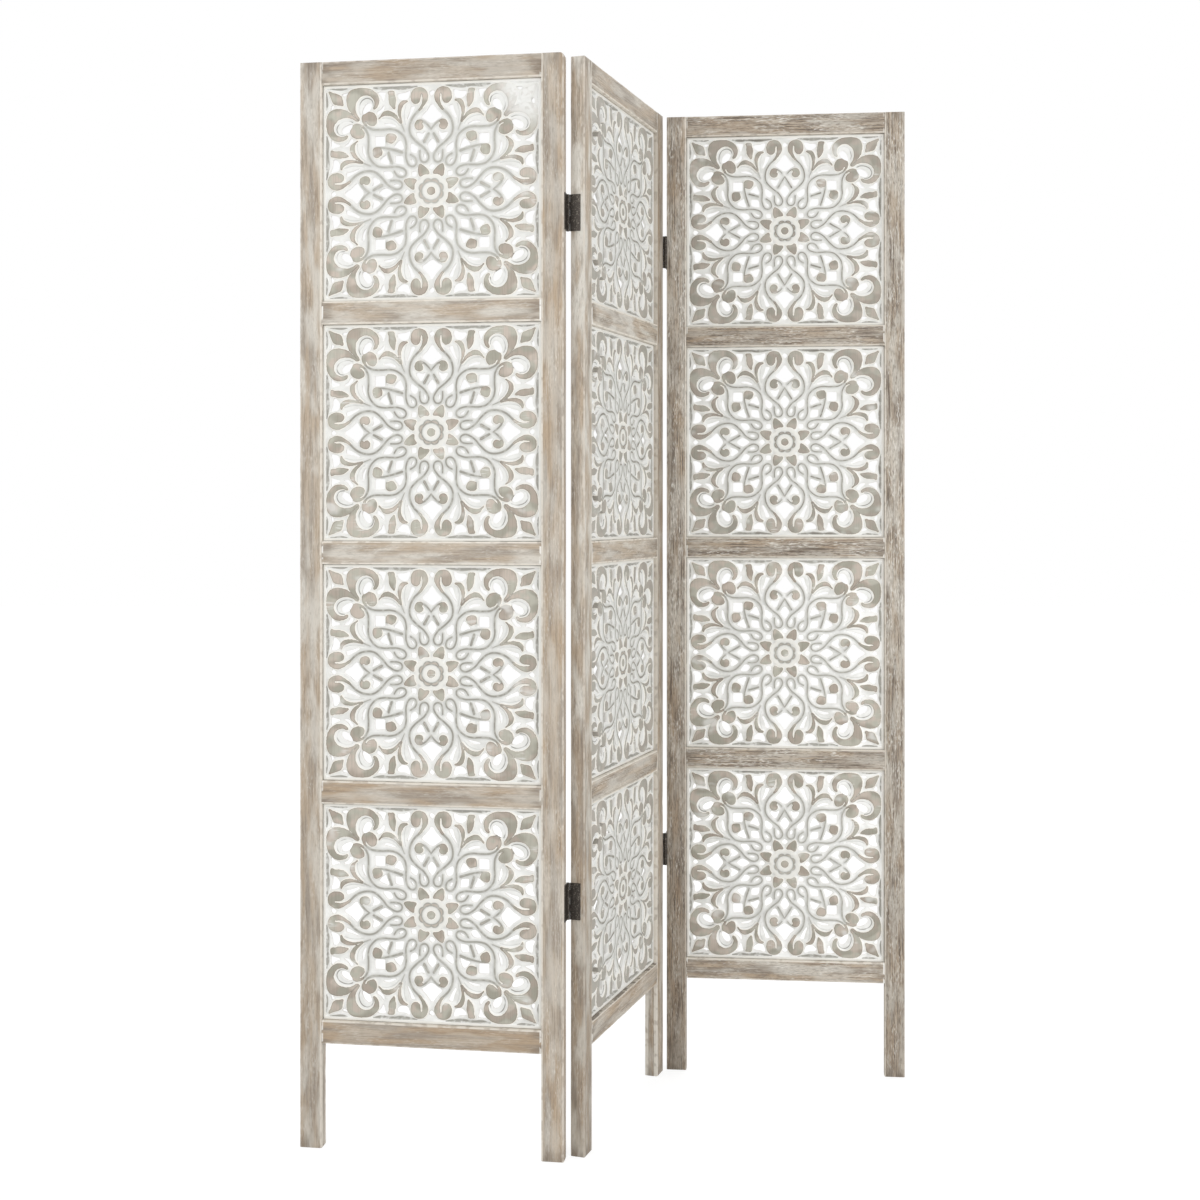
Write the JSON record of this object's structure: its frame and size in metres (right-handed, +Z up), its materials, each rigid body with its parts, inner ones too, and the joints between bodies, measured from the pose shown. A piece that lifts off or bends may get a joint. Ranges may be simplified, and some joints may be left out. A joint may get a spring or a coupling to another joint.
{
  "type": "folding screen",
  "caption": "Three-leaf folding screen: whitewashed wooden frames with square pierced and carved panels, joined by dark butt hinges and standing in a Z.",
  "frame": {"origin": "on the floor, at the middle of the plan box of the screen as it stands in a Z", "axes": "+Z up, -Y towards the viewer who sees the front faces of all three leaves, +X to that viewer's right"},
  "size_m": [1.0684, 0.4688, 1.8],
  "materials": {
    "frame_wood": "limewashed and sanded",
    "carved_panel": "white paint sanded back on the raised faces",
    "dowel_wood": "bare",
    "hinge_metal": "dark bronze",
    "screw_metal": "dark bronze"
  },
  "bodies": {
    "centre_leaf": {"centre_leaf_left_stile": "frame_wood", "centre_leaf_right_stile": "frame_wood", "centre_leaf_top_rail": "frame_wood", "centre_leaf_upper_rail": "frame_wood", "centre_leaf_middle_rail": "frame_wood", "centre_leaf_lower_rail": "frame_wood", "centre_leaf_bottom_rail": "frame_wood", "centre_leaf_top_panel": "carved_panel", "centre_leaf_upper_panel": "carved_panel", "centre_leaf_lower_panel": "carved_panel", "centre_leaf_bottom_panel": "carved_panel", "centre_leaf_dowels": "dowel_wood", "centre_leaf_hinge_screws": "screw_metal", "left_upper_hinge_centre_plate": "hinge_metal", "left_upper_hinge_pin": "hinge_metal", "left_lower_hinge_centre_plate": "hinge_metal", "left_lower_hinge_pin": "hinge_metal", "right_upper_hinge_centre_plate": "hinge_metal", "right_upper_hinge_pin": "hinge_metal", "right_lower_hinge_centre_plate": "hinge_metal", "right_lower_hinge_pin": "hinge_metal"},
    "left_leaf": {"left_leaf_left_stile": "frame_wood", "left_leaf_right_stile": "frame_wood", "left_leaf_top_rail": "frame_wood", "left_leaf_upper_rail": "frame_wood", "left_leaf_middle_rail": "frame_wood", "left_leaf_lower_rail": "frame_wood", "left_leaf_bottom_rail": "frame_wood", "left_leaf_top_panel": "carved_panel", "left_leaf_upper_panel": "carved_panel", "left_leaf_lower_panel": "carved_panel", "left_leaf_bottom_panel": "carved_panel", "left_leaf_dowels": "dowel_wood", "left_leaf_hinge_screws": "screw_metal", "left_upper_hinge_outer_plate": "hinge_metal", "left_lower_hinge_outer_plate": "hinge_metal"},
    "right_leaf": {"right_leaf_left_stile": "frame_wood", "right_leaf_right_stile": "frame_wood", "right_leaf_top_rail": "frame_wood", "right_leaf_upper_rail": "frame_wood", "right_leaf_middle_rail": "frame_wood", "right_leaf_lower_rail": "frame_wood", "right_leaf_bottom_rail": "frame_wood", "right_leaf_top_panel": "carved_panel", "right_leaf_upper_panel": "carved_panel", "right_leaf_lower_panel": "carved_panel", "right_leaf_bottom_panel": "carved_panel", "right_leaf_dowels": "dowel_wood", "right_leaf_hinge_screws": "screw_metal", "right_upper_hinge_outer_plate": "hinge_metal", "right_lower_hinge_outer_plate": "hinge_metal"}
  },
  "joints": [
    {"name": "left_hinge", "type": "hinge", "parent": "centre_leaf", "child": "left_leaf", "pos_m": [-0.08867, -0.20709, 0], "axis": [0, 0, -1], "range_deg": [-79.63, 100.37]},
    {"name": "right_hinge", "type": "hinge", "parent": "centre_leaf", "child": "right_leaf", "pos_m": [0.08728, 0.2068, 0], "axis": [0, 0, -1], "range_deg": [-76.75, 103.25]}
  ]
}
